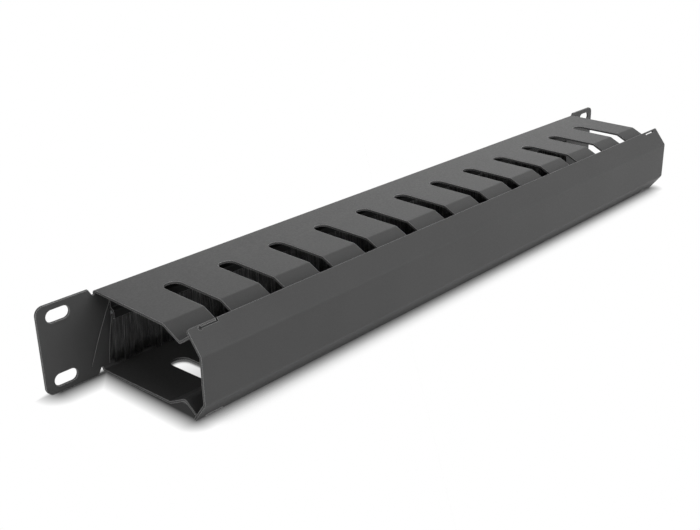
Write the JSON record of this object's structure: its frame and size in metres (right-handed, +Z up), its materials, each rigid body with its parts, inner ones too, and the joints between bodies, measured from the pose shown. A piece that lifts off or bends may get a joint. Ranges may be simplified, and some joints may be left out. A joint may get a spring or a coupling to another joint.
{
  "type": "rack brush strip panel",
  "caption": "Rack panel with a slotted cable channel, a clip-on front cover and a brush strip along its back plate.",
  "frame": {"origin": "centre of the four rack slots, on the rear face of the ears", "axes": "+X along the panel to the right seen from the front, +Y into the rack, +Z up"},
  "size_m": [0.4826, 0.0766, 0.044],
  "materials": {
    "powder_coat": "fine matt charcoal-black powder coat on steel",
    "zinc_strip": "dull zinc plate",
    "bristle_nylon": "black nylon filament",
    "rivet_aluminium": "satin"
  },
  "bodies": {
    "panel": {"chassis": "powder_coat", "brush_holder": "powder_coat", "brush_channel": "zinc_strip", "brush_core_wire": "zinc_strip", "brush_bristles": "bristle_nylon", "brush_rivets": "rivet_aluminium"},
    "cover": {"front_cover": "powder_coat"}
  },
  "joints": [
    {"name": "cover_pull", "type": "slide", "parent": "panel", "child": "cover", "axis": [0, -1, 0], "range_m": [0, 0.06]}
  ]
}
